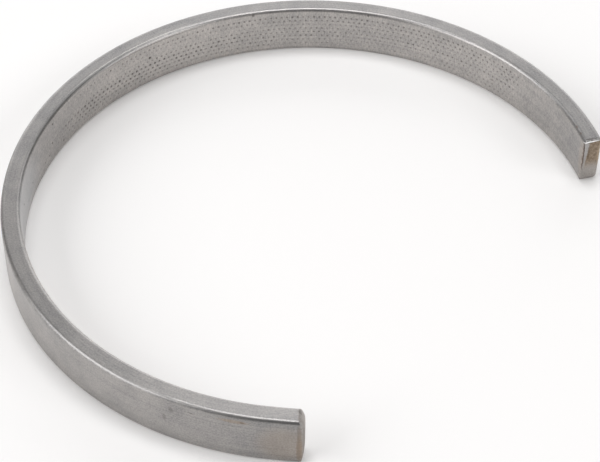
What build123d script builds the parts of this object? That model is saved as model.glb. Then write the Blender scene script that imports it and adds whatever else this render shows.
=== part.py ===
from build123d import *
import math
import os

# Locating ring for a split bearing housing: one strip of flat mill steel,
# rolled to a part circle and cropped off at both ends. All sizes in millimetres.
# The origin is on the ring's axis at its lower face, +Z is up that axis,
# and the opening is centred on -Y.

# The ring
outer_diameter = 140.0
ring_width = 12.5            # along the axis
wall_thickness = 4.5         # of the strip, from inside to outside
corner_radius = 0.9          # of the strip's four long edges, as rolled
opening_angle = 105.7        # degrees, between the upper edges of the two ends

# Right end: its face leans back a little and rolls over at the foot
right_lean = 0.3             # of the face, from its upper edge to the start of the foot's roll
right_foot_radius = 0.8      # of the roll at the foot
right_top_radius = 0.3       # of the upper edge
right_drawn_radius = 0.7     # of the upright inside edge, which the shear drew in

# Left end: its face swells out below the upper edge and draws back to the foot
left_swell = 1.2             # of the crest of the face, beyond its upper edge
left_crest_height = 8.5      # above the ring's lower face
left_foot_reach = 0.3        # of the foot of the face, beyond its upper edge
left_drawn_depth = 1.2       # of the upright outside edge that the shear drew in, along the strip
left_drawn_width = 2.2       # of the same edge, across the strip

skim = 0.02                  # how far outside the strip each rounded edge starts, so that it cuts in cleanly

# Worked out from the sizes above
middle_radius = (outer_diameter - wall_thickness) / 2
right_angle = -90 + opening_angle / 2
left_angle = 270 - opening_angle / 2

# The strip is rolled longer than the ring, and each end is cut back to its face
spare_length = left_swell + wall_thickness
spare_angle = math.degrees(spare_length / middle_radius)


def rolled_strip():
    """The strip's rounded section swept round the axis, past both end faces."""
    section = Pos(middle_radius, ring_width / 2) * RectangleRounded(wall_thickness, ring_width, corner_radius)
    arc = 360 - opening_angle + 2 * spare_angle
    strip = revolve(Plane.XZ * section, axis=Axis.Z, revolution_arc=arc)
    return Rot(Z=right_angle - spare_angle) * strip


def end_frame(angle, side):
    """Frame at the foot of an end: X along the strip away from the metal, Z up, Y across the strip.
    side is 1 where the angle grows away from the metal, and -1 where it falls.
    The edge that the shear drew in is on the -Y side at both ends."""
    turn = math.radians(angle)
    foot = Vector(math.cos(turn), math.sin(turn), 0) * middle_radius
    away = Vector(-math.sin(turn), math.cos(turn), 0) * side
    return Plane(origin=foot, x_dir=away, z_dir=(0, 0, 1))


def right_side_view():
    """The right end face seen from the side: upper edge, leaning face, roll at the foot."""
    top = ring_width + skim
    head = CenterArc((-right_top_radius, top - right_top_radius), right_top_radius, 90, -90)
    foot_centre = (-right_lean - right_foot_radius, right_foot_radius - skim)
    foot = CenterArc(foot_centre, right_foot_radius, 0, -90)
    return Wire([head, Line(head @ 1, foot @ 0), foot])


def left_side_view():
    """The left end face seen from the side: a quarter ellipse to the crest, and one arc back to the foot."""
    rise = ring_width + skim - left_crest_height
    head = EllipticalCenterArc((0, left_crest_height), left_swell, rise, 90, arc_size=-90)
    foot = TangentArc(head @ 1, (left_foot_reach, -skim), tangent=(0, -1))
    return Wire([head, foot])


def right_corner():
    """The right end's drawn-in edge seen from above, from the face to the inside wall."""
    radius = right_drawn_radius
    return CenterArc((-radius, radius - wall_thickness / 2 - skim), radius, 0, -90)


def left_corner():
    """The left end's drawn-in edge seen from above, from the face's crest to the outside wall."""
    centre = (left_swell - left_drawn_depth, left_drawn_width - wall_thickness / 2 - skim)
    return EllipticalCenterArc(centre, left_drawn_depth, left_drawn_width, 0, arc_size=-90)


def waste_round(edge, corners):
    """Flat region between an edge's two ends, closed round the waste by way of the corners."""
    return make_face(edge + Polyline(edge @ 1, *corners, edge @ 0))


def end_waste(side_view, corner):
    """What the shear takes off one end, from its face's side view and its drawn-in corner's plan."""
    far = 2 * spare_length
    low, high = -wall_thickness, ring_width + wall_thickness
    beyond = waste_round(side_view, [((side_view @ 1).X, low), (far, low), (far, high), ((side_view @ 0).X, high)])
    outside = waste_round(corner, [((corner @ 1).X, low), (far, low), (far, (corner @ 0).Y)])
    across = Pos(Y=wall_thickness) * extrude(Plane.XZ * beyond, amount=2 * wall_thickness)
    upright = Pos(Z=low) * extrude(outside, amount=high - low)
    return across + upright


def locating_ring():
    """The finished ring, one solid."""
    right_waste = end_frame(right_angle, -1) * end_waste(right_side_view(), right_corner())
    left_waste = end_frame(left_angle, 1) * end_waste(left_side_view(), left_corner())
    return rolled_strip() - right_waste - left_waste


os.makedirs("parts", exist_ok=True)
ring = locating_ring()
export_step(ring, "parts/locating_ring.step")
print(f"ring: {len(ring.solids())} solid, {ring.volume:.0f} cubic millimetres")
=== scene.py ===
import math
import random
import bmesh
import bpy
from mathutils import Matrix, Vector, noise


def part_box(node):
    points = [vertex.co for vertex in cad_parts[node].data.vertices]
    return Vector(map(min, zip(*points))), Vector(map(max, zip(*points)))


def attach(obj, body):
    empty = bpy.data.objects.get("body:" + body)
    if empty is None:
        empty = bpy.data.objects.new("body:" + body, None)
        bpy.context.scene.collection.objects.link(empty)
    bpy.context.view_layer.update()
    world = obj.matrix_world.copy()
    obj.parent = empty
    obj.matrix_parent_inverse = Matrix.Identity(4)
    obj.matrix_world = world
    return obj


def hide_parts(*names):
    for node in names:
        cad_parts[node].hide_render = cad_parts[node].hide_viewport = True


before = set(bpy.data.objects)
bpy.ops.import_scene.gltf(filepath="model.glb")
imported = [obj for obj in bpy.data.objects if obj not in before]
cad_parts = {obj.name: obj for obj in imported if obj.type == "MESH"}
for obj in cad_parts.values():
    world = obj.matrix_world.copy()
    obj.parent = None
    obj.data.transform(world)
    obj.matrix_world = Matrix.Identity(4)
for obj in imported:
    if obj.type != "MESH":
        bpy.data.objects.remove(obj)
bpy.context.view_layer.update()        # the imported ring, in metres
mm = 0.001
print("frame:", len(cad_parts), "node")

# The ring: one strip of flat steel bent to a part circle, its axis on Z and its lower face on the floor
lowCorner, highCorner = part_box("locating_ring")
ring = {
    "outerRadius": (highCorner.x - lowCorner.x) / 2 / mm,
    "width": (highCorner.z - lowCorner.z) / mm,
    "wall": 4.5,
    "cornerRadius": 0.9,        # of the four long edges
    "opening": 105.7,           # degrees, centred on -Y
    "arcSteps": 3,              # in half a rounded corner
    "support": 0.12,            # lines this near to the rounded corners keep the flats flat
    "faceLines": (-0.62, 0, 0.62),      # along the upper and lower faces
    "coarseStep": 1.5,          # along the strip where nothing is marked
    "waver": 0.02,              # how far the rolled surfaces wander
    "waverLength": 16,
    "waverAcross": 2,           # how much shorter that wander is across the strip
}
middleRadius = ring["outerRadius"] - ring["wall"] / 2
innerRadius = ring["outerRadius"] - ring["wall"]
halfWall = ring["wall"] / 2
halfWidth = ring["width"] / 2
rightEnd = math.radians(-90 + ring["opening"] / 2)
stripLength = math.radians(360 - ring["opening"]) * middleRadius
insideStretch = middleRadius / innerRadius      # a length on the inside wall is longer on the straight strip

# Right end: cropped nearly square by a blade that came in from the inside
rightCrop = {
    "lean": 0.3,                # of the face, down to the roll at its foot
    "footRadius": 0.8,
    "footLift": 0.8,            # of the foot's outside corner
    "footLiftFrom": 1.1,        # across the strip, where that starts
    "footLiftHeight": 1.8,      # above the lower face, where it ends
    "footLiftCurve": 4,         # the higher, the nearer to the end it stays
    "outsideDepth": (0.75, 1.25),   # of the rounded outside edge: high up, and near the foot
    "outsideHeights": (1.5, 6.5),   # between which that depth changes
    "outsideWidth": 0.6,
    "topDepth": 0.6,            # of the rolled-over upper edge, along the strip
    "topHeight": 0.4,
    "drawnDepth": 1.6,          # of the upright inside edge, along the strip
    "drawnWidth": 0.35,         # and across it
    "breakTop": -0.55,          # across the strip, where the broken metal starts at the upper edge
    "breakSlant": 0.11,         # how fast that line moves towards the inside further down
    "breakBlur": 0.12,          # over which it comes in there, either way
    "breakBelowTop": (0.15, 0.5),   # and over which it comes in below the upper edge
    "breakInside": (0.02, 0.2),     # and inside the outer edge
    "breakFoot": 4.9,           # height at which the broken metal ends
    "breakFade": 1.7,           # over which it thins out there, either way
    "breakDepth": 0.14,
}
# Left end: it swelled out as it was cropped from the outside
leftCrop = {
    "swell": 1.28,
    "crestHeight": 8.2,
    "footReach": 0.3,
    "headCurve": 2.4,           # the higher, the rounder the face above its crest
    "footCurve": 3,
    "drawnDepth": 1.2,          # of the upright outside edge, along the strip
    "drawnWidth": 2.2,          # and across it
    "straight": 0.22,           # how far the tip stands outside the circle
    "straightLength": 6,
    "straightPast": 2,          # beyond the upper edge, where it stops rising
}
endMesh = {
    "length": 7,                # the lines across the strip follow the end's shape this far in
    "steps": (0, 0.1, 0.25, 0.45, 0.75, 1.1, 1.6, 2.3, 3.2, 4.3, 5.6),
    "blend": 0.12,              # between a face and its drawn-in edge
    "insets": (0.02, 0.08, 0.17, 0.3, 0.45, 0.62, 0.8),   # rings of faces round the end face
    "cuts": 2,                  # of each face inside them
    "grain": 0.08,              # roughness of the broken metal
    "grainSize": 0.6,
    "grainLayers": (0.6, 2, 3),     # fall in strength, step in size and count of its finer layers
}

# Pin marks of the feed roll on the inside wall, in staggered rows
pinMarks = {
    "columns": 122,             # of cells, marked or not
    "marked": 105,              # columns with marks
    "pitch": 1.35,              # along the inside wall
    "rowSpacing": 1.165,
    "firstRow": 2.25,           # below the upper face
    "firstAngle": -12.5,        # degrees round the ring
    "slipFrom": 53,             # past this column the strip slipped under the roll
    "slip": 0.0095,
    "radius": 0.36,
    "radiusGain": 0.2,          # how much of it follows the mark's strength
    "depth": 0.09,
    "jitter": 0.035,
    "variation": 0.3,
    "startSlant": 0.2,          # columns by which each row starts after the one above it
    "startFade": (-2, 2),       # columns from the start, over which the marks come in
    "endFade": (-2, 16),        # and from the end
    "leastStrength": 0.12,
    # how strong each row is, top row first, at four places from the first column to the last
    "strengths": (
        (1.1, 1, 1, 0.5),
        (1.05, 0.9, 0.68, 0.35),
        (1.1, 0.65, 0.33, 0.22),
        (0.55, 0.8, 1, 0.6),
        (1.1, 0.95, 1.2, 1.8),
        (0.6, 0.78, 1.2, 1.3),
        (0.8, 0.65, 1.05, 1.1),
        (0.9, 0.6, 0.85, 0.55),
    ),
    "rings": ((1, 0), (0.7, 0.5), (0.36, 0.88)),    # shares of each mark's radius and depth
    "margin": 0.02,             # between a single pit and the edge of its cell
}
markRows = len(pinMarks["strengths"])
# Points round a mark's cell of eight faces, from its middle line at the far side: stations along the
# strip from the cell's middle, and lines down from its top
cellOutline = (
    (2, 1), (2, 0), (1, 0), (0, 0), (-1, 0), (-2, 0),
    (-2, 1), (-2, 2), (-1, 2), (0, 2), (1, 2), (2, 2),
)
# Single pits: degrees round the ring, depth below the upper face, radius, strength
singlePits = (
    (76.3, 5.0, 0.44, 2), (86.9, 2.05, 0.36, 1.6), (103.8, 10.4, 0.3, 1.4), (107.5, 1.8, 0.36, 1.9),
    (108.4, 7.1, 0.36, 1.8), (110.2, 9.7, 0.32, 1.6), (112.4, 9.6, 0.28, 1.4), (120.4, 7.9, 0.32, 1.7),
    (124.6, 9.2, 0.32, 1.6), (129, 5.4, 0.36, 1.8),
)
# How much lighter or darker each face is, partly wear from rubbing and partly painted light and shade: places
# in millimetres from the right end, and the shift in tone there
rubbedAndPaintedShadingFaces = {
    "inside": (
        (6, -0.14), (16, 0.15), (35, 0.4), (55, 0.36), (82, 0.23), (101, 0.32), (125, 0.66), (144, 0.46),
        (177, 0.22), (196, 1),
    ),
    "outside": (
        (188, 0.1), (204, -0.4), (211, -0.2), (219, 0.38), (228, 0.07), (237, -0.12), (247, 0.07),
        (257, -0.03), (266, -0.07), (276, -0.25), (300, -0.28),
    ),
    "top": (
        (9, -0.23), (23, -0.22), (37, 0), (66, -0.05), (94, -0.12), (108, -0.16), (137, -0.25), (165, -0.23),
        (179, -0.03), (193, 0.19), (222, 0.16), (236, 0.12), (264, 0.02), (280, 0.12), (294, 0.15),
    ),
}
faceToneEdge = 0.5            # millimetres below each face, where its tone shift starts
dice = random.Random(140)


def smoothStep(value, low, high):
    share = min(max((value - low) / (high - low), 0), 1)
    return share * share * (3 - 2 * share)


def softMin(one, other, blend):
    share = min(max(0.5 + 0.5 * (other - one) / blend, 0), 1)
    return other + (one - other) * share - blend * share * (1 - share)


def dropOff(distance, depth, width):
    # how far a quarter ellipse has fallen, this far past its start
    share = min(max(distance / width, 0), 1)
    return depth * (1 - math.sqrt(1 - share * share))


def rubbedAndPaintedShadingTone(x, y, z):
    # how much brighter than plain steel the surface is at this place on the straight strip: wear from
    # rubbing, and painted light and shade
    shares = {
        "inside": smoothStep(-y, halfWall - faceToneEdge, halfWall),
        "outside": smoothStep(y, halfWall - faceToneEdge, halfWall),
        "top": smoothStep(z, ring["width"] - faceToneEdge, ring["width"]),
    }
    tone = 0
    for face, share in shares.items():
        places = rubbedAndPaintedShadingFaces[face]
        value = places[0][1]
        for (startPlace, start), (endPlace, end) in zip(places, places[1:]):
            value += (end - start) * smoothStep(x, startPlace, endPlace)
        tone += share * value
    return tone


def rightReach(y, z):
    # how far the right end's face stands out beyond its upper edge
    crop = rightCrop
    head = ring["width"] - crop["topHeight"]
    side = -crop["lean"] * min(max((head - z) / (head - crop["footRadius"]), 0), 1)
    side -= dropOff(z - head, crop["topDepth"], crop["topHeight"])
    side -= dropOff(crop["footRadius"] - z, crop["footRadius"], crop["footRadius"])
    high, low = crop["outsideDepth"]
    outside = low + (high - low) * smoothStep(z, *crop["outsideHeights"])
    side -= dropOff(crop["outsideWidth"] - halfWall + y, outside, crop["outsideWidth"])
    plan = -dropOff(crop["drawnWidth"] - halfWall - y, crop["drawnDepth"], crop["drawnWidth"])
    return softMin(side, plan, endMesh["blend"])


def leftReach(y, z):
    # and the left end's face
    crop = leftCrop
    crest = crop["crestHeight"]
    above = max(z - crest, 0) / (ring["width"] - crest)
    below = max(crest - z, 0) / crest
    side = crop["swell"] * (1 - above ** crop["headCurve"])
    side -= (crop["swell"] - crop["footReach"]) * below ** crop["footCurve"]
    plan = crop["swell"] - dropOff(crop["drawnWidth"] - halfWall + y, crop["drawnDepth"], crop["drawnWidth"])
    return softMin(side, plan, endMesh["blend"])


def rightFootRise(y, z):
    # how far the outside corner of the right end's foot is lifted
    crop = rightCrop
    side = smoothStep(y, crop["footLiftFrom"], halfWall)
    return crop["footLift"] * side * smoothStep(-z, -crop["footLiftHeight"], 0)


def brokenShare(x, y, z):
    # 1 on the broken part of the right end's face, 0 elsewhere
    if x > 0:
        return 0
    crop = rightCrop
    below = ring["width"] - z
    inside = smoothStep(below, *crop["breakBelowTop"]) * smoothStep(halfWall - y, *crop["breakInside"])
    start = crop["breakTop"] - crop["breakSlant"] * below
    foot = smoothStep(z, crop["breakFoot"] - crop["breakFade"], crop["breakFoot"] + crop["breakFade"])
    return inside * smoothStep(y, start - crop["breakBlur"], start + crop["breakBlur"]) * foot


# The strip is meshed straight, in millimetres: x along it from the right end, y from the
# inside to the outside, z up. Then its ends are cropped and it is bent round.
rowLines = [halfWidth - pinMarks["firstRow"] - pinMarks["rowSpacing"] * (line - 1) / 2
            for line in range(2 * markRows + 1)]


def sideLines(side):
    # the lines along one side of the strip, from mid corner to mid corner, each with the way it faces
    upright = side % 2 == 0
    corner = ring["cornerRadius"]
    length, reach = (halfWidth, halfWall) if upright else (halfWall, halfWidth)
    flat = length - corner
    steps = ring["arcSteps"]
    between = rowLines if upright else ring["faceLines"]
    if side == 2:
        between = [-line for line in between]
    spots = [(-flat, 45 * (step / steps - 1)) for step in range(steps + 1)]
    spots += [(along, 0) for along in (ring["support"] - flat, *sorted(between), flat - ring["support"])]
    spots += [(flat, 45 * step / steps) for step in range(steps)]
    turn = Matrix.Rotation(math.radians(90 * side), 2)
    lines = []
    for along, tilt in spots:
        facing = Vector((math.cos(math.radians(tilt)), math.sin(math.radians(tilt))))
        lines.append((turn @ (Vector((reach - corner, along)) + corner * facing), turn @ facing))
    return lines


def spread(start, end):
    # places between two stations, not counting either
    count = math.ceil((end - start) / ring["coarseStep"])
    return [start + (end - start) * step / count for step in range(1, count)]


def markedStation(quarter):
    # place along the strip of each quarter of a mark's pitch
    column = (quarter - 2) / 4
    column += pinMarks["slip"] * max(column - pinMarks["slipFrom"], 0)
    turned = math.radians(pinMarks["firstAngle"]) - rightEnd + column * pinMarks["pitch"] / innerRadius
    return turned * middleRadius


def cellQuarter(row, column):
    # the quarter that a cell's middle is on: every other row is half a pitch further along
    return 4 * column + 2 + 2 * (row % 2)


def feedMarks():
    # row and column of each mark: how far off its cell's middle, its radius and its depth
    marks = {}
    last = pinMarks["marked"] - 1
    jitter = pinMarks["jitter"]
    gain = pinMarks["radiusGain"]
    for row, strengths in enumerate(pinMarks["strengths"]):
        spans = len(strengths) - 1
        for column in range(last + 1):
            part = spans * column / last
            low = min(int(part), spans - 1)
            strength = strengths[low] + (strengths[low + 1] - strengths[low]) * (part - low)
            strength *= 1 + pinMarks["variation"] * dice.uniform(-1, 1)
            started = smoothStep(column - pinMarks["startSlant"] * row, *pinMarks["startFade"])
            strength *= started * smoothStep(last - column, *pinMarks["endFade"])
            middle = (dice.uniform(-jitter, jitter), dice.uniform(-jitter, jitter))
            if strength > pinMarks["leastStrength"]:
                radius = pinMarks["radius"] * (1 - gain + gain * strength)
                marks[row, column] = (*middle, radius, pinMarks["depth"] * strength)
    return marks


def addSinglePits(marks):
    # each in the cell that it lies nearest to, in place of that cell's mark
    firstRow, spacing = pinMarks["firstRow"], pinMarks["rowSpacing"]
    for angle, below, radius, strength in singlePits:
        place = (math.radians(angle) - rightEnd) * middleRadius
        row = min(max(round((below - firstRow) / spacing), 0), markRows - 1)
        middles = [markedStation(cellQuarter(row, column)) for column in range(pinMarks["columns"])]
        column = min(range(len(middles)), key=lambda choice: abs(middles[choice] - place))
        alongOff = (place - middles[column]) * innerRadius / middleRadius
        room = spacing / 2 - radius - pinMarks["margin"]
        upOff = min(max(firstRow + row * spacing - below, -room), room)
        marks[row, column] = (alongOff, upOff, radius, pinMarks["depth"] * strength)


def rolledPlace(place):
    # from the straight strip to the cropped and bent ring, in metres
    x, y, z = place
    leftWay = stripLength - x
    depthIn = min(x, leftWay)
    if depthIn < endMesh["length"]:
        share = 1 - max(depthIn, 0) / endMesh["length"]
        reach = rightReach(y, z) if x < leftWay else leftReach(y, z)
        if depthIn <= 0:
            rough = noise.fractal(Vector((x, y, z)) / endMesh["grainSize"], *endMesh["grainLayers"])
            reach += brokenShare(x, y, z) * (endMesh["grain"] * rough - rightCrop["breakDepth"])
        if x < leftWay:
            z += rightFootRise(y, z) * share ** rightCrop["footLiftCurve"]
            x -= reach * share
        else:
            x += reach * share
    straightFrom = stripLength - leftCrop["straightLength"]
    radius = middleRadius + y
    radius += leftCrop["straight"] * smoothStep(x, straightFrom, stripLength + leftCrop["straightPast"])
    finer = ring["waverAcross"]
    radius += ring["waver"] * noise.noise(Vector((x, y * finer, z * finer)) / ring["waverLength"])
    angle = rightEnd + x / middleRadius
    return Vector((radius * math.cos(angle), radius * math.sin(angle), z)) * mm


def joinRings(strip, outer, inner):
    for step in range(len(outer)):
        after = (step + 1) % len(outer)
        strip.faces.new((outer[step], outer[after], inner[after], inner[step]))


def dish(strip, outline, middle, radius, depth):
    # one mark: rings of faces from its cell's outline in to its bottom
    # darker with depth in each mark: dirt in the pits and painted shade
    pitDirtAndShade = strip.verts.layers.float["pitDirtAndShade"]
    count = len(outline)
    outer = outline
    for radiusShare, depthShare in pinMarks["rings"]:
        inner = []
        for step in range(count):
            turn = math.radians(360 / count * step)
            out = Vector((math.cos(turn) * insideStretch, 0, math.sin(turn))) * radius * radiusShare
            inner.append(strip.verts.new(middle + out + Vector((0, depth * depthShare, 0))))
            inner[-1][pitDirtAndShade] = depthShare * depth / pinMarks["depth"]
        joinRings(strip, outer, inner)
        outer = inner
    bottom = strip.verts.new(middle + Vector((0, depth, 0)))
    bottom[pitDirtAndShade] = depth / pinMarks["depth"]
    for step in range(count):
        strip.faces.new((outer[step], outer[(step + 1) % count], bottom))


def endFace(strip, outline, lines, upCount, acrossCount):
    # rings of faces inwards from the outline, then the grid of faces that it gives back
    x = outline[0].co.x
    outer = outline
    for inset in endMesh["insets"]:
        inner = []
        for spot, facing in lines:
            moved = spot - inset * facing
            inner.append(strip.verts.new((x, moved.x, moved.y + halfWidth)))
        joinRings(strip, outer, inner)
        outer = inner
    core = {}
    for up in range(upCount + 1):
        for across in range(acrossCount + 1):
            if across == 0:
                vert = outer[up]
            elif across == acrossCount:
                vert = outer[2 * upCount + acrossCount - up]
            elif up == upCount:
                vert = outer[upCount + across]
            elif up == 0:
                vert = outer[len(outer) - across]
            else:
                vert = strip.verts.new((x, outer[upCount + across].co.y, outer[up].co.z))
            core[up, across] = vert
    return [strip.faces.new((core[up, across], core[up + 1, across],
                             core[up + 1, across + 1], core[up, across + 1]))
            for up in range(upCount) for across in range(acrossCount)]


def divideFaces(strip, faces):
    # cuts them finer and leaves their outline as it is
    chosen = set(faces)
    inside = dict.fromkeys(edge for face in faces for edge in face.edges
                           if all(one in chosen for one in edge.link_faces))
    bmesh.ops.subdivide_edges(strip, edges=list(inside), cuts=endMesh["cuts"], use_grid_fill=True)


def cropAndBend(strip):
    # keeps each point's place on the straight strip for the finish
    straightPlace = strip.verts.layers.float_vector["stripPlace"]
    broken = strip.verts.layers.float["brokenMetal"]
    cropped = strip.verts.layers.float["croppedFace"]
    # wear from rubbing and painted light and shade, kept per point
    rubbedAndShaded = strip.verts.layers.float["rubbedAndPaintedShadingTone"]
    for vert in strip.verts:
        x, y, z = vert.co
        vert[straightPlace] = (x, y, z)
        vert[broken] = brokenShare(x, y, z)
        vert[cropped] = x <= 0 or x >= stripLength
        vert[rubbedAndShaded] = rubbedAndPaintedShadingTone(x, y, z)
        vert.co = rolledPlace(vert.co)


def ringPiece():
    strip = bmesh.new()
    strip.verts.layers.float_vector.new("stripPlace")
    for name in ("brokenMetal", "croppedFace", "pitDirtAndShade", "rubbedAndPaintedShadingTone"):
        strip.verts.layers.float.new(name)
    sides = [sideLines(side) for side in range(4)]
    lines = [line for side in sides for line in side]
    upCount, acrossCount = len(sides[0]), len(sides[1])

    # stations across the strip, close together where the marks are
    quarters = 4 * pinMarks["columns"] + 2
    marked = [markedStation(quarter) for quarter in range(quarters + 1)]
    near = list(endMesh["steps"])
    far = [stripLength - step for step in reversed(near)]
    before = near + spread(near[-1], marked[0])
    stations = before + marked + spread(marked[-1], far[0]) + far
    grid = [[strip.verts.new((x, spot.x, spot.y + halfWidth)) for spot, facing in lines] for x in stations]

    # the marks, each a dish in its own cell, below the inside wall's corner and its support line
    marks = feedMarks()
    addSinglePits(marks)
    firstLine = upCount + acrossCount + (ring["arcSteps"] + 1) + 1
    taken = set()
    for (row, column), (alongOff, upOff, radius, depth) in marks.items():
        station = len(before) + cellQuarter(row, column)
        line = firstLine + 2 * row
        taken.update((station + along, line + down) for along in range(-2, 2) for down in range(2))
        outline = [grid[station + along][line + down] for along, down in cellOutline]
        middle = grid[station][line + 1].co + Vector((alongOff * insideStretch, 0, upOff))
        dish(strip, outline, middle, radius, depth)

    # the long faces
    for station, (here, ahead) in enumerate(zip(grid, grid[1:])):
        for line in range(len(lines)):
            if (station, line) not in taken:
                after = (line + 1) % len(lines)
                strip.faces.new((here[line], here[after], ahead[after], ahead[line]))

    endFaces = []
    for outline in (grid[0], grid[-1]):
        endFaces += endFace(strip, outline, lines, upCount, acrossCount)
    divideFaces(strip, endFaces)

    # the points that the marks' cells left over
    bmesh.ops.delete(strip, geom=[vert for vert in strip.verts if not vert.link_faces], context="VERTS")

    cropAndBend(strip)
    bmesh.ops.recalc_face_normals(strip, faces=strip.faces[:])
    for face in strip.faces:
        face.smooth = True
    mesh = bpy.data.meshes.new("locatingRing")
    strip.to_mesh(mesh)
    strip.free()
    piece = bpy.data.objects.new("locatingRing", mesh)
    bpy.context.scene.collection.objects.link(piece)
    print("ring:", len(mesh.polygons), "faces")
    return piece


def linear(hexColour):
    # sRGB hex to linear colour
    parts = [int(hexColour[start:start + 2], 16) / 255 for start in (1, 3, 5)]
    return [part / 12.92 if part <= 0.04045 else ((part + 0.055) / 1.055) ** 2.4 for part in parts] + [1]


def addNode(tree, kind, settings=None, values=None, links=None):
    # one node with its settings, its sockets' values and what feeds them; on a Mix node socket 0 is the
    # share, 4 and 5 are the two vectors, and 6 and 7 the two colours
    node = tree.nodes.new("ShaderNode" + kind)
    for name, value in (settings or {}).items():
        setattr(node, name, value)
    for socket, value in (values or {}).items():
        node.inputs[socket].default_value = value
    for socket, source in (links or {}).items():
        tree.links.new(source, node.inputs[socket])
    return node


# Mild steel flat, cold drawn and left as it came from the mill: matt grey with faint lines along the
# strip. The eye sees soft reflections, a fine grain and small smudges, and brown where the metal was
# cropped and is bare.
drawnSteel = {
    "light": "#b4b0ad",
    "dark": "#989695",
    "roughness": 0.38,
    "lay": 0.5,                 # how much more the surface scatters across the lines than along them
    "layTurn": 0.25,            # of a full turn, so that it scatters across them
    "lineWidth": 0.35,          # the real draw lines are finer, about 0.05 mm; these are as fine as shows
    "lineLength": 30,
    "lineHeight": 0.03,
    "grain": 0.38,              # of the matt surface, also coarser than real
    "grainHeight": 0.05,
    "bumpStrength": 0.6,        # of the lines and the grain
    "strokeWidth": 0.3,         # of the feed roll's rubbing on the inside wall, up and down
    "strokeLength": 1,
    "strokeEdge": (-1.9, -2.2),     # across the strip, between which it comes in
    "smudge": 5,
    "tones": {"lines": 0.6, "grain": 1.1, "strokes": 2.2, "smudge": 0.75},     # how far each shifts the tone
    # dark residue in the pits, which also paints shade in them
    "pitDirtAndShade": "#4a4642",
    "pitDirtAndShadeShare": 0.52,
}
# Bare broken metal with brown bloom, in two mottled tones, and the part of the pattern that turns one
# into the other
brokenSteel = {"light": "#9c8d7c", "dark": "#655747", "mottle": 0.9, "mottleRange": (0.35, 0.65)}
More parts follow.
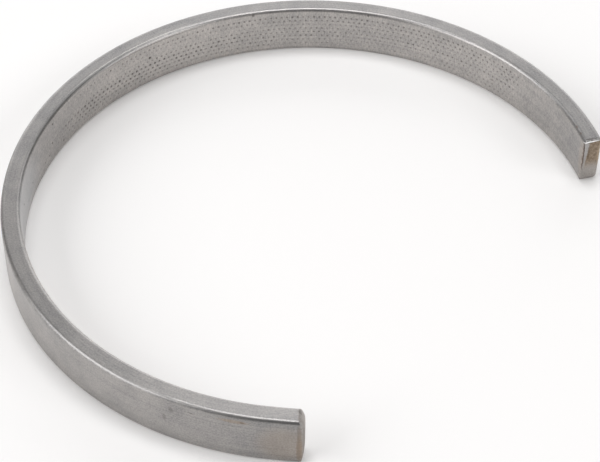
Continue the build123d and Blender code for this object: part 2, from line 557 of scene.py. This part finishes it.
# Stains, bloom, nicks, and painted highlights and painted shade on the edges: middle and half size in
# millimetres on the straight strip (along it from the right end, across it, up), colour, and share of the
# colour
stainsAndPaintedLight = {
    "rightEndBloom": ((0, 0, 5), (0.3, 3.4, 8), "#8f8172", 0.22),
    "leftEndBloom": ((stripLength, 0, 6), (0.5, 3.2, 8), "#8a7a6a", 0.3),
    # darker brown over the left end's face: bloom, and painted shade
    "leftFaceBloomAndShade": ((stripLength, 0.9, 6.5), (0.5, 1.1, 7), "#6b6055", 0.4),
    "leftWallBloom": ((stripLength - 3, 2.25, 5.5), (6, 0.3, 5.5), "#a08f7c", 0.3),
    "darkEdge": ((0, -1.98, 8.2), (0.4, 0.2, 4.8), "#4a3d35", 0.85),
    "burnishedBand": ((0, -1.42, 9.4), (0.3, 0.42, 3.4), "#a3a4a8", 0.3),
    "rolledEdge": ((0, -2.2, 7.5), (1.2, 0.2, 5), "#c2b5a9", 0.28),
    "brokenEdge": ((0, -0.75, 9), (0.3, 0.3, 2.8), "#4c4036", 0.4),
    "paleBrokenSide": ((0, 2.1, 7.8), (0.4, 0.75, 3.6), "#b3a28c", 0.5),
    # painted highlight along the rounded upper edge of the right end
    "paintedHighlightLip": ((0, -0.3, 12.06), (0.4, 2.2, 0.24), "#ffffff", 1),
    "lipShadow": ((0.12, -0.1, 12.5), (0.22, 2.2, 0.2), "#66625f", 0.7),
    # painted shadow just under the lip
    "paintedShadowUnderLip": ((0, -0.7, 11.8), (0.3, 1.1, 0.16), "#4d453e", 0.6),
    # painted highlights along the inside upper corner and the top face's edge
    "paintedHighlightCorner": ((14, -1.68, 12.4), (17, 0.28, 0.18), "#e6e4e2", 0.6),
    "otherPaintedHighlightCorner": ((170, -1.66, 12.41), (34, 0.25, 0.17), "#e6e4e2", 0.4),
    "paintedHighlightTopEdge": ((139, -1.37, 12.5), (25, 0.16, 0.25), "#f2efe9", 0.65),
    "paintedHighlightInsideEdge": ((151, -2.1, 12.1), (13, 0.2, 0.25), "#e6e4e2", 0.5),
    # painted dark line on the inside wall just under its corner's highlight
    "paintedShadeUnderEdge": ((134, -2.25, 11.68), (18, 0.3, 0.13), "#6b6763", 0.55),
    # painted shade that dims the highlight along the outer upper corner
    "paintedShadeOnCorner": ((268, 1.8, 12.3), (36, 0.5, 0.35), "#8f8d8b", 0.5),
    "paintedShadeOnCornerEnd": ((297, 1.8, 12.3), (12, 0.5, 0.35), "#8f8d8b", 0.6),
    # painted lighter, bluish light on the inside wall near the left end
    "paintedCoolLight": ((200, -2.25, 6), (20, 0.5, 10), "#bbbfc3", 0.45),
    "rustSpeck": ((3.2, -1.8, 12.4), (0.45, 0.3, 0.3), "#96796a", 0.45),
    "otherRustSpeck": ((5.8, -1.8, 12.4), (0.6, 0.3, 0.3), "#96796a", 0.45),
    "footStain": ((stripLength - 0.15, 2.25, 3.9), (0.52, 0.45, 4.4), "#7f6a54", 0.42),
    "upperStain": ((stripLength - 0.1, 2.3, 9.4), (0.36, 0.3, 2.8), "#76675a", 0.34),
    "topSmudge": ((stripLength, -1.1, 12.1), (0.8, 0.7, 0.5), "#65635f", 0.5),
    "darkMark": ((274.4, 2.25, 9.5), (0.6, 0.3, 0.9), "#56524e", 0.33),
    "otherDarkMark": ((272.8, 2.25, 6.6), (0.45, 0.3, 1.1), "#56524e", 0.3),
    "scratch": ((278.8, 2.25, 10.4), (0.8, 0.3, 0.2), "#56524e", 0.4),
    "beigeStain": ((287.7, 2.25, 10.9), (3.4, 0.4, 0.55), "#a8937a", 0.4),
    "rubMark": ((34.2, -2.25, 7.2), (0.5, 0.3, 0.4), "#4a4642", 0.5),
    "otherRubMark": ((39, -2.25, 4.5), (0.5, 0.3, 0.35), "#4a4642", 0.45),
    "edgeNick": ((105, -2.1, 11.75), (0.4, 0.3, 0.4), "#3e3a37", 0.6),
    "otherEdgeNick": ((75, -2.1, 11.75), (0.35, 0.3, 0.4), "#3e3a37", 0.6),
    "brownSpeck": ((289.4, 2.25, 10.85), (0.6, 0.3, 0.25), "#5c4a3c", 0.5),
}
stainEdge = {
    "fade": (1.2, 0.5),         # shares of the half size between which a stain comes in
    "ragged": 0.35,             # how far its edge wanders
    "size": 0.7,                # of the wander
}


def steelPatterns(tree, place):
    # noise in millimetres on the straight strip, drawn out along it or up and down it
    steel = drawnSteel
    lineSize = (steel["lineLength"], steel["lineWidth"], steel["lineWidth"])
    strokeSize = (steel["strokeWidth"], steel["strokeLength"], steel["strokeLength"])
    drawn = addNode(tree, "VectorMath", {"operation": "DIVIDE"}, {1: lineSize}, {0: place})
    upright = addNode(tree, "VectorMath", {"operation": "DIVIDE"}, {1: strokeSize}, {0: place})
    kinds = {
        "lines": ({"Scale": 1, "Detail": 3}, drawn.outputs[0]),
        "strokes": ({"Scale": 1, "Detail": 2}, upright.outputs[0]),
        "grain": ({"Scale": 1 / steel["grain"], "Detail": 2}, place),
        "smudge": ({"Scale": 1 / steel["smudge"], "Detail": 4, "Roughness": 0.6}, place),
    }
    return {name: addNode(tree, "TexNoise", None, values, {"Vector": source}).outputs["Fac"]
            for name, (values, source) in kinds.items()}


def bareSteel(tree, place, patterns):
    # the colour of the bare steel: wear from rubbing with painted light and shade, and each pattern, shift
    # its tone either way
    steel = drawnSteel
    across = addNode(tree, "SeparateXYZ", None, None, {0: place}).outputs["Y"]
    outer, inner = steel["strokeEdge"]
    inside = addNode(tree, "MapRange", None, {"From Min": outer, "From Max": inner}, {"Value": across})
    # wear from rubbing and painted light and shade, face by face
    rubbedAndShaded = addNode(tree, "Attribute", {"attribute_name": "rubbedAndPaintedShadingTone"}).outputs["Fac"]
    strokes = addNode(tree, "MapRange", None, {"To Min": -0.5, "To Max": 0.5}, {"Value": patterns["strokes"]})
    tone = addNode(tree, "Math", {"operation": "MULTIPLY"}, None,
                   {0: inside.outputs[0], 1: strokes.outputs[0]}).outputs[0]
    tone = addNode(tree, "Math", {"operation": "MULTIPLY_ADD"}, {1: steel["tones"]["strokes"]},
                   {0: tone, 2: rubbedAndShaded}).outputs[0]
    for name in ("lines", "grain", "smudge"):
        middle = addNode(tree, "Math", {"operation": "SUBTRACT"}, {1: 0.5}, {0: patterns[name]})
        tone = addNode(tree, "Math", {"operation": "MULTIPLY_ADD"}, {1: 2 * steel["tones"][name]},
                       {0: middle.outputs[0], 2: tone}).outputs[0]
    bright = addNode(tree, "Math", {"operation": "ADD"}, {1: 0.5}, {0: tone})
    colour = addNode(tree, "Mix", {"data_type": "RGBA", "clamp_factor": False},
                     {6: linear(steel["dark"]), 7: linear(steel["light"])}, {0: bright.outputs[0]})
    return colour.outputs[2]


def brokenAndPitted(tree, place, colour):
    # the broken metal, and the dirt and painted shade in the pits, over the bare steel
    mottle = addNode(tree, "TexNoise", None,
                     {"Scale": 1 / brokenSteel["mottle"], "Detail": 5, "Roughness": 0.7}, {"Vector": place})
    low, high = brokenSteel["mottleRange"]
    mottleShare = addNode(tree, "MapRange", None, {"From Min": low, "From Max": high},
                          {"Value": mottle.outputs["Fac"]})
    bloom = addNode(tree, "Mix", {"data_type": "RGBA"},
                    {6: linear(brokenSteel["dark"]), 7: linear(brokenSteel["light"])},
                    {0: mottleShare.outputs[0]})
    broken = addNode(tree, "Attribute", {"attribute_name": "brokenMetal"}).outputs["Fac"]
    colour = addNode(tree, "Mix", {"data_type": "RGBA"}, None,
                     {0: broken, 6: colour, 7: bloom.outputs[2]}).outputs[2]
    pits = addNode(tree, "Attribute", {"attribute_name": "pitDirtAndShade"}).outputs["Fac"]
    pitDarkShare = addNode(tree, "Math", {"operation": "MULTIPLY", "use_clamp": True},
                        {1: drawnSteel["pitDirtAndShadeShare"]}, {0: pits})
    return addNode(tree, "Mix", {"data_type": "RGBA"}, {7: linear(drawnSteel["pitDirtAndShade"])},
                   {0: pitDarkShare.outputs[0], 6: colour}).outputs[2]


def addStainsAndPaintedLight(tree, place, colour):
    # each stain, painted highlight and painted shade over the one before, with one ragged edge for them all
    raggedNoise = addNode(tree, "TexNoise", None, {"Scale": 1 / stainEdge["size"], "Detail": 3},
                          {"Vector": place})
    off = addNode(tree, "VectorMath", {"operation": "SUBTRACT"}, {1: (0.5, 0.5, 0.5)},
                  {0: raggedNoise.outputs["Color"]})
    ragged = addNode(tree, "VectorMath", {"operation": "MULTIPLY_ADD"}, {1: (stainEdge["ragged"],) * 3},
                     {0: off.outputs[0], 2: place})
    start, full = stainEdge["fade"]
    for middle, halfSize, tint, share in stainsAndPaintedLight.values():
        apart = addNode(tree, "VectorMath", {"operation": "SUBTRACT"}, {1: middle}, {0: ragged.outputs[0]})
        scaled = addNode(tree, "VectorMath", {"operation": "DIVIDE"}, {1: halfSize}, {0: apart.outputs[0]})
        distance = addNode(tree, "VectorMath", {"operation": "LENGTH"}, None, {0: scaled.outputs[0]})
        strength = addNode(tree, "MapRange", {"interpolation_type": "SMOOTHSTEP"},
                           {"From Min": start, "From Max": full, "To Max": share},
                           {"Value": distance.outputs["Value"]})
        colour = addNode(tree, "Mix", {"data_type": "RGBA"}, {7: linear(tint)},
                         {0: strength.outputs[0], 6: colour}).outputs[2]
    return colour


def drawnSteelFinish():
    finish = bpy.data.materials.new("drawnMildSteel")
    finish.use_nodes = True
    tree = finish.node_tree
    tree.nodes.clear()
    steel = drawnSteel
    place = addNode(tree, "Attribute", {"attribute_name": "stripPlace"}).outputs["Vector"]
    patterns = steelPatterns(tree, place)
    colour = addStainsAndPaintedLight(tree, place, brokenAndPitted(tree, place, bareSteel(tree, place, patterns)))

    bumpLines = addNode(tree, "Bump", None,
                        {"Strength": steel["bumpStrength"], "Distance": steel["lineHeight"] * mm},
                        {"Height": patterns["lines"]})
    bump = addNode(tree, "Bump", None,
                   {"Strength": steel["bumpStrength"], "Distance": steel["grainHeight"] * mm},
                   {"Height": patterns["grain"], "Normal": bumpLines.outputs["Normal"]})
    # the lay runs round the ring on the strip's own faces, and upright on the cropped ones
    spot = addNode(tree, "NewGeometry").outputs["Position"]
    along = addNode(tree, "VectorMath", {"operation": "CROSS_PRODUCT"}, {0: (0, 0, 1)}, {1: spot})
    cropped = addNode(tree, "Attribute", {"attribute_name": "croppedFace"}).outputs["Fac"]
    lay = addNode(tree, "Mix", {"data_type": "VECTOR"}, {5: (0, 0, 1)}, {0: cropped, 4: along.outputs[0]})
    shader = addNode(tree, "BsdfPrincipled", None,
                     {"Metallic": 1, "Roughness": steel["roughness"], "Anisotropic": steel["lay"],
                      "Anisotropic Rotation": steel["layTurn"]},
                     {"Base Color": colour, "Normal": bump.outputs["Normal"], "Tangent": lay.outputs[1]})
    addNode(tree, "OutputMaterial", None, None, {"Surface": shader.outputs["BSDF"]})
    return finish


ringObject = ringPiece()
ringObject.data.materials.append(drawnSteelFinish())
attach(ringObject, "root")
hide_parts("locating_ring")
print("steel: painted")

# The camera, fitted to the ring's four edges in the photograph
view = {
    "place": (-258.41, -209.19, 320.05),    # millimetres from the ring's origin
    "turn": -50.6,              # degrees, from looking along +Y
    "lookDown": 44.02,
    "roll": 0.18,
    "lens": 119.8,
    "filmWidth": 36,
}


def camera():
    lens = bpy.data.cameras.new("photoCamera")
    lens.lens = view["lens"]
    lens.sensor_width = view["filmWidth"]
    holder = bpy.data.objects.new("photoCamera", lens)
    turn = Matrix.Rotation(math.radians(view["turn"]), 4, "Z")
    tilt = Matrix.Rotation(math.radians(90 - view["lookDown"]), 4, "X")
    roll = Matrix.Rotation(math.radians(-view["roll"]), 4, "Z")
    holder.matrix_world = Matrix.Translation(Vector(view["place"]) * mm) @ turn @ tilt @ roll
    bpy.context.scene.collection.objects.link(holder)
    bpy.context.scene.camera = holder


# The studio: a pale floor in a dim room, with soft lamps placed by their bearing from the camera's
# line of sight (degrees, clockwise seen from above), their height angle and their half angles
studio = {
    "floorSize": 24,            # metres
    "floorColour": "#f1efed",
    "floorRoughness": 0.9,
    "floorGlow": 0.12,          # of the opal board, lit from below
    "floorBelow": 0.02,         # millimetres, just clear of the ring's lower face
    "roomBrightness": 0.18,
    "lampDistance": 3,
    "lampColour": "#fcfdff",
    "lamps": {
        "overheadLamp": {"bearing": 5, "height": 80, "halfAcross": 16, "halfUp": 8, "brightness": 7.8},
        "rightLamp": {"bearing": 119, "height": 34, "halfAcross": 14, "halfUp": 10, "brightness": 4.1},
        "leftLamp": {"bearing": 255, "height": 34, "halfAcross": 23, "halfUp": 19, "brightness": 3},
        "backLamp": {"bearing": -2, "height": 20, "halfAcross": 32, "halfUp": 19, "brightness": 1.52},
    },
}


def paleFloor():
    size = studio["floorSize"] / 2
    mesh = bpy.data.meshes.new("paleFloor")
    corners = [(-size, -size, 0), (size, -size, 0), (size, size, 0), (-size, size, 0)]
    mesh.from_pydata(corners, [], [(0, 1, 2, 3)])
    floor = bpy.data.objects.new("paleFloor", mesh)
    bpy.context.scene.collection.objects.link(floor)
    floor.location.z = -studio["floorBelow"] * mm
    finish = bpy.data.materials.new("opalAcrylicBoard")
    finish.use_nodes = True
    board = finish.node_tree.nodes["Principled BSDF"]
    board.inputs["Base Color"].default_value = linear(studio["floorColour"])
    board.inputs["Roughness"].default_value = studio["floorRoughness"]
    board.inputs["Emission Color"].default_value = linear(studio["floorColour"])
    board.inputs["Emission Strength"].default_value = studio["floorGlow"]
    mesh.materials.append(finish)


def dimRoom():
    room = bpy.data.worlds.new("dimRoom")
    bpy.context.scene.world = room
    room.use_nodes = True
    background = room.node_tree.nodes["Background"]
    background.inputs["Color"].default_value = (1, 1, 1, 1)
    background.inputs["Strength"].default_value = studio["roomBrightness"]


def softLamp(name, place):
    lamp = bpy.data.lights.new(name, "AREA")
    lamp.shape = "RECTANGLE"
    distance = studio["lampDistance"]
    lamp.size = 2 * distance * math.tan(math.radians(place["halfAcross"]))
    lamp.size_y = 2 * distance * math.tan(math.radians(place["halfUp"]))
    lamp.color = linear(studio["lampColour"])[:3]
    lamp.energy = math.pi * lamp.size * lamp.size_y * place["brightness"]
    holder = bpy.data.objects.new(name, lamp)
    heading = Matrix.Rotation(math.radians(view["turn"] - place["bearing"]), 4, "Z")
    rise = Matrix.Rotation(math.radians(90 + place["height"]), 4, "X")
    out = Matrix.Translation((0, 0, -distance))
    about = Matrix.Rotation(math.pi, 4, "Y")    # to face the ring
    holder.matrix_world = heading @ rise @ out @ about
    bpy.context.scene.collection.objects.link(holder)


paleFloor()
dimRoom()
for lampName, lampPlace in studio["lamps"].items():
    softLamp(lampName, lampPlace)
camera()
bpy.context.scene.view_settings.view_transform = "Standard"
print("studio: floor, room,", len(studio["lamps"]), "lamps and camera")
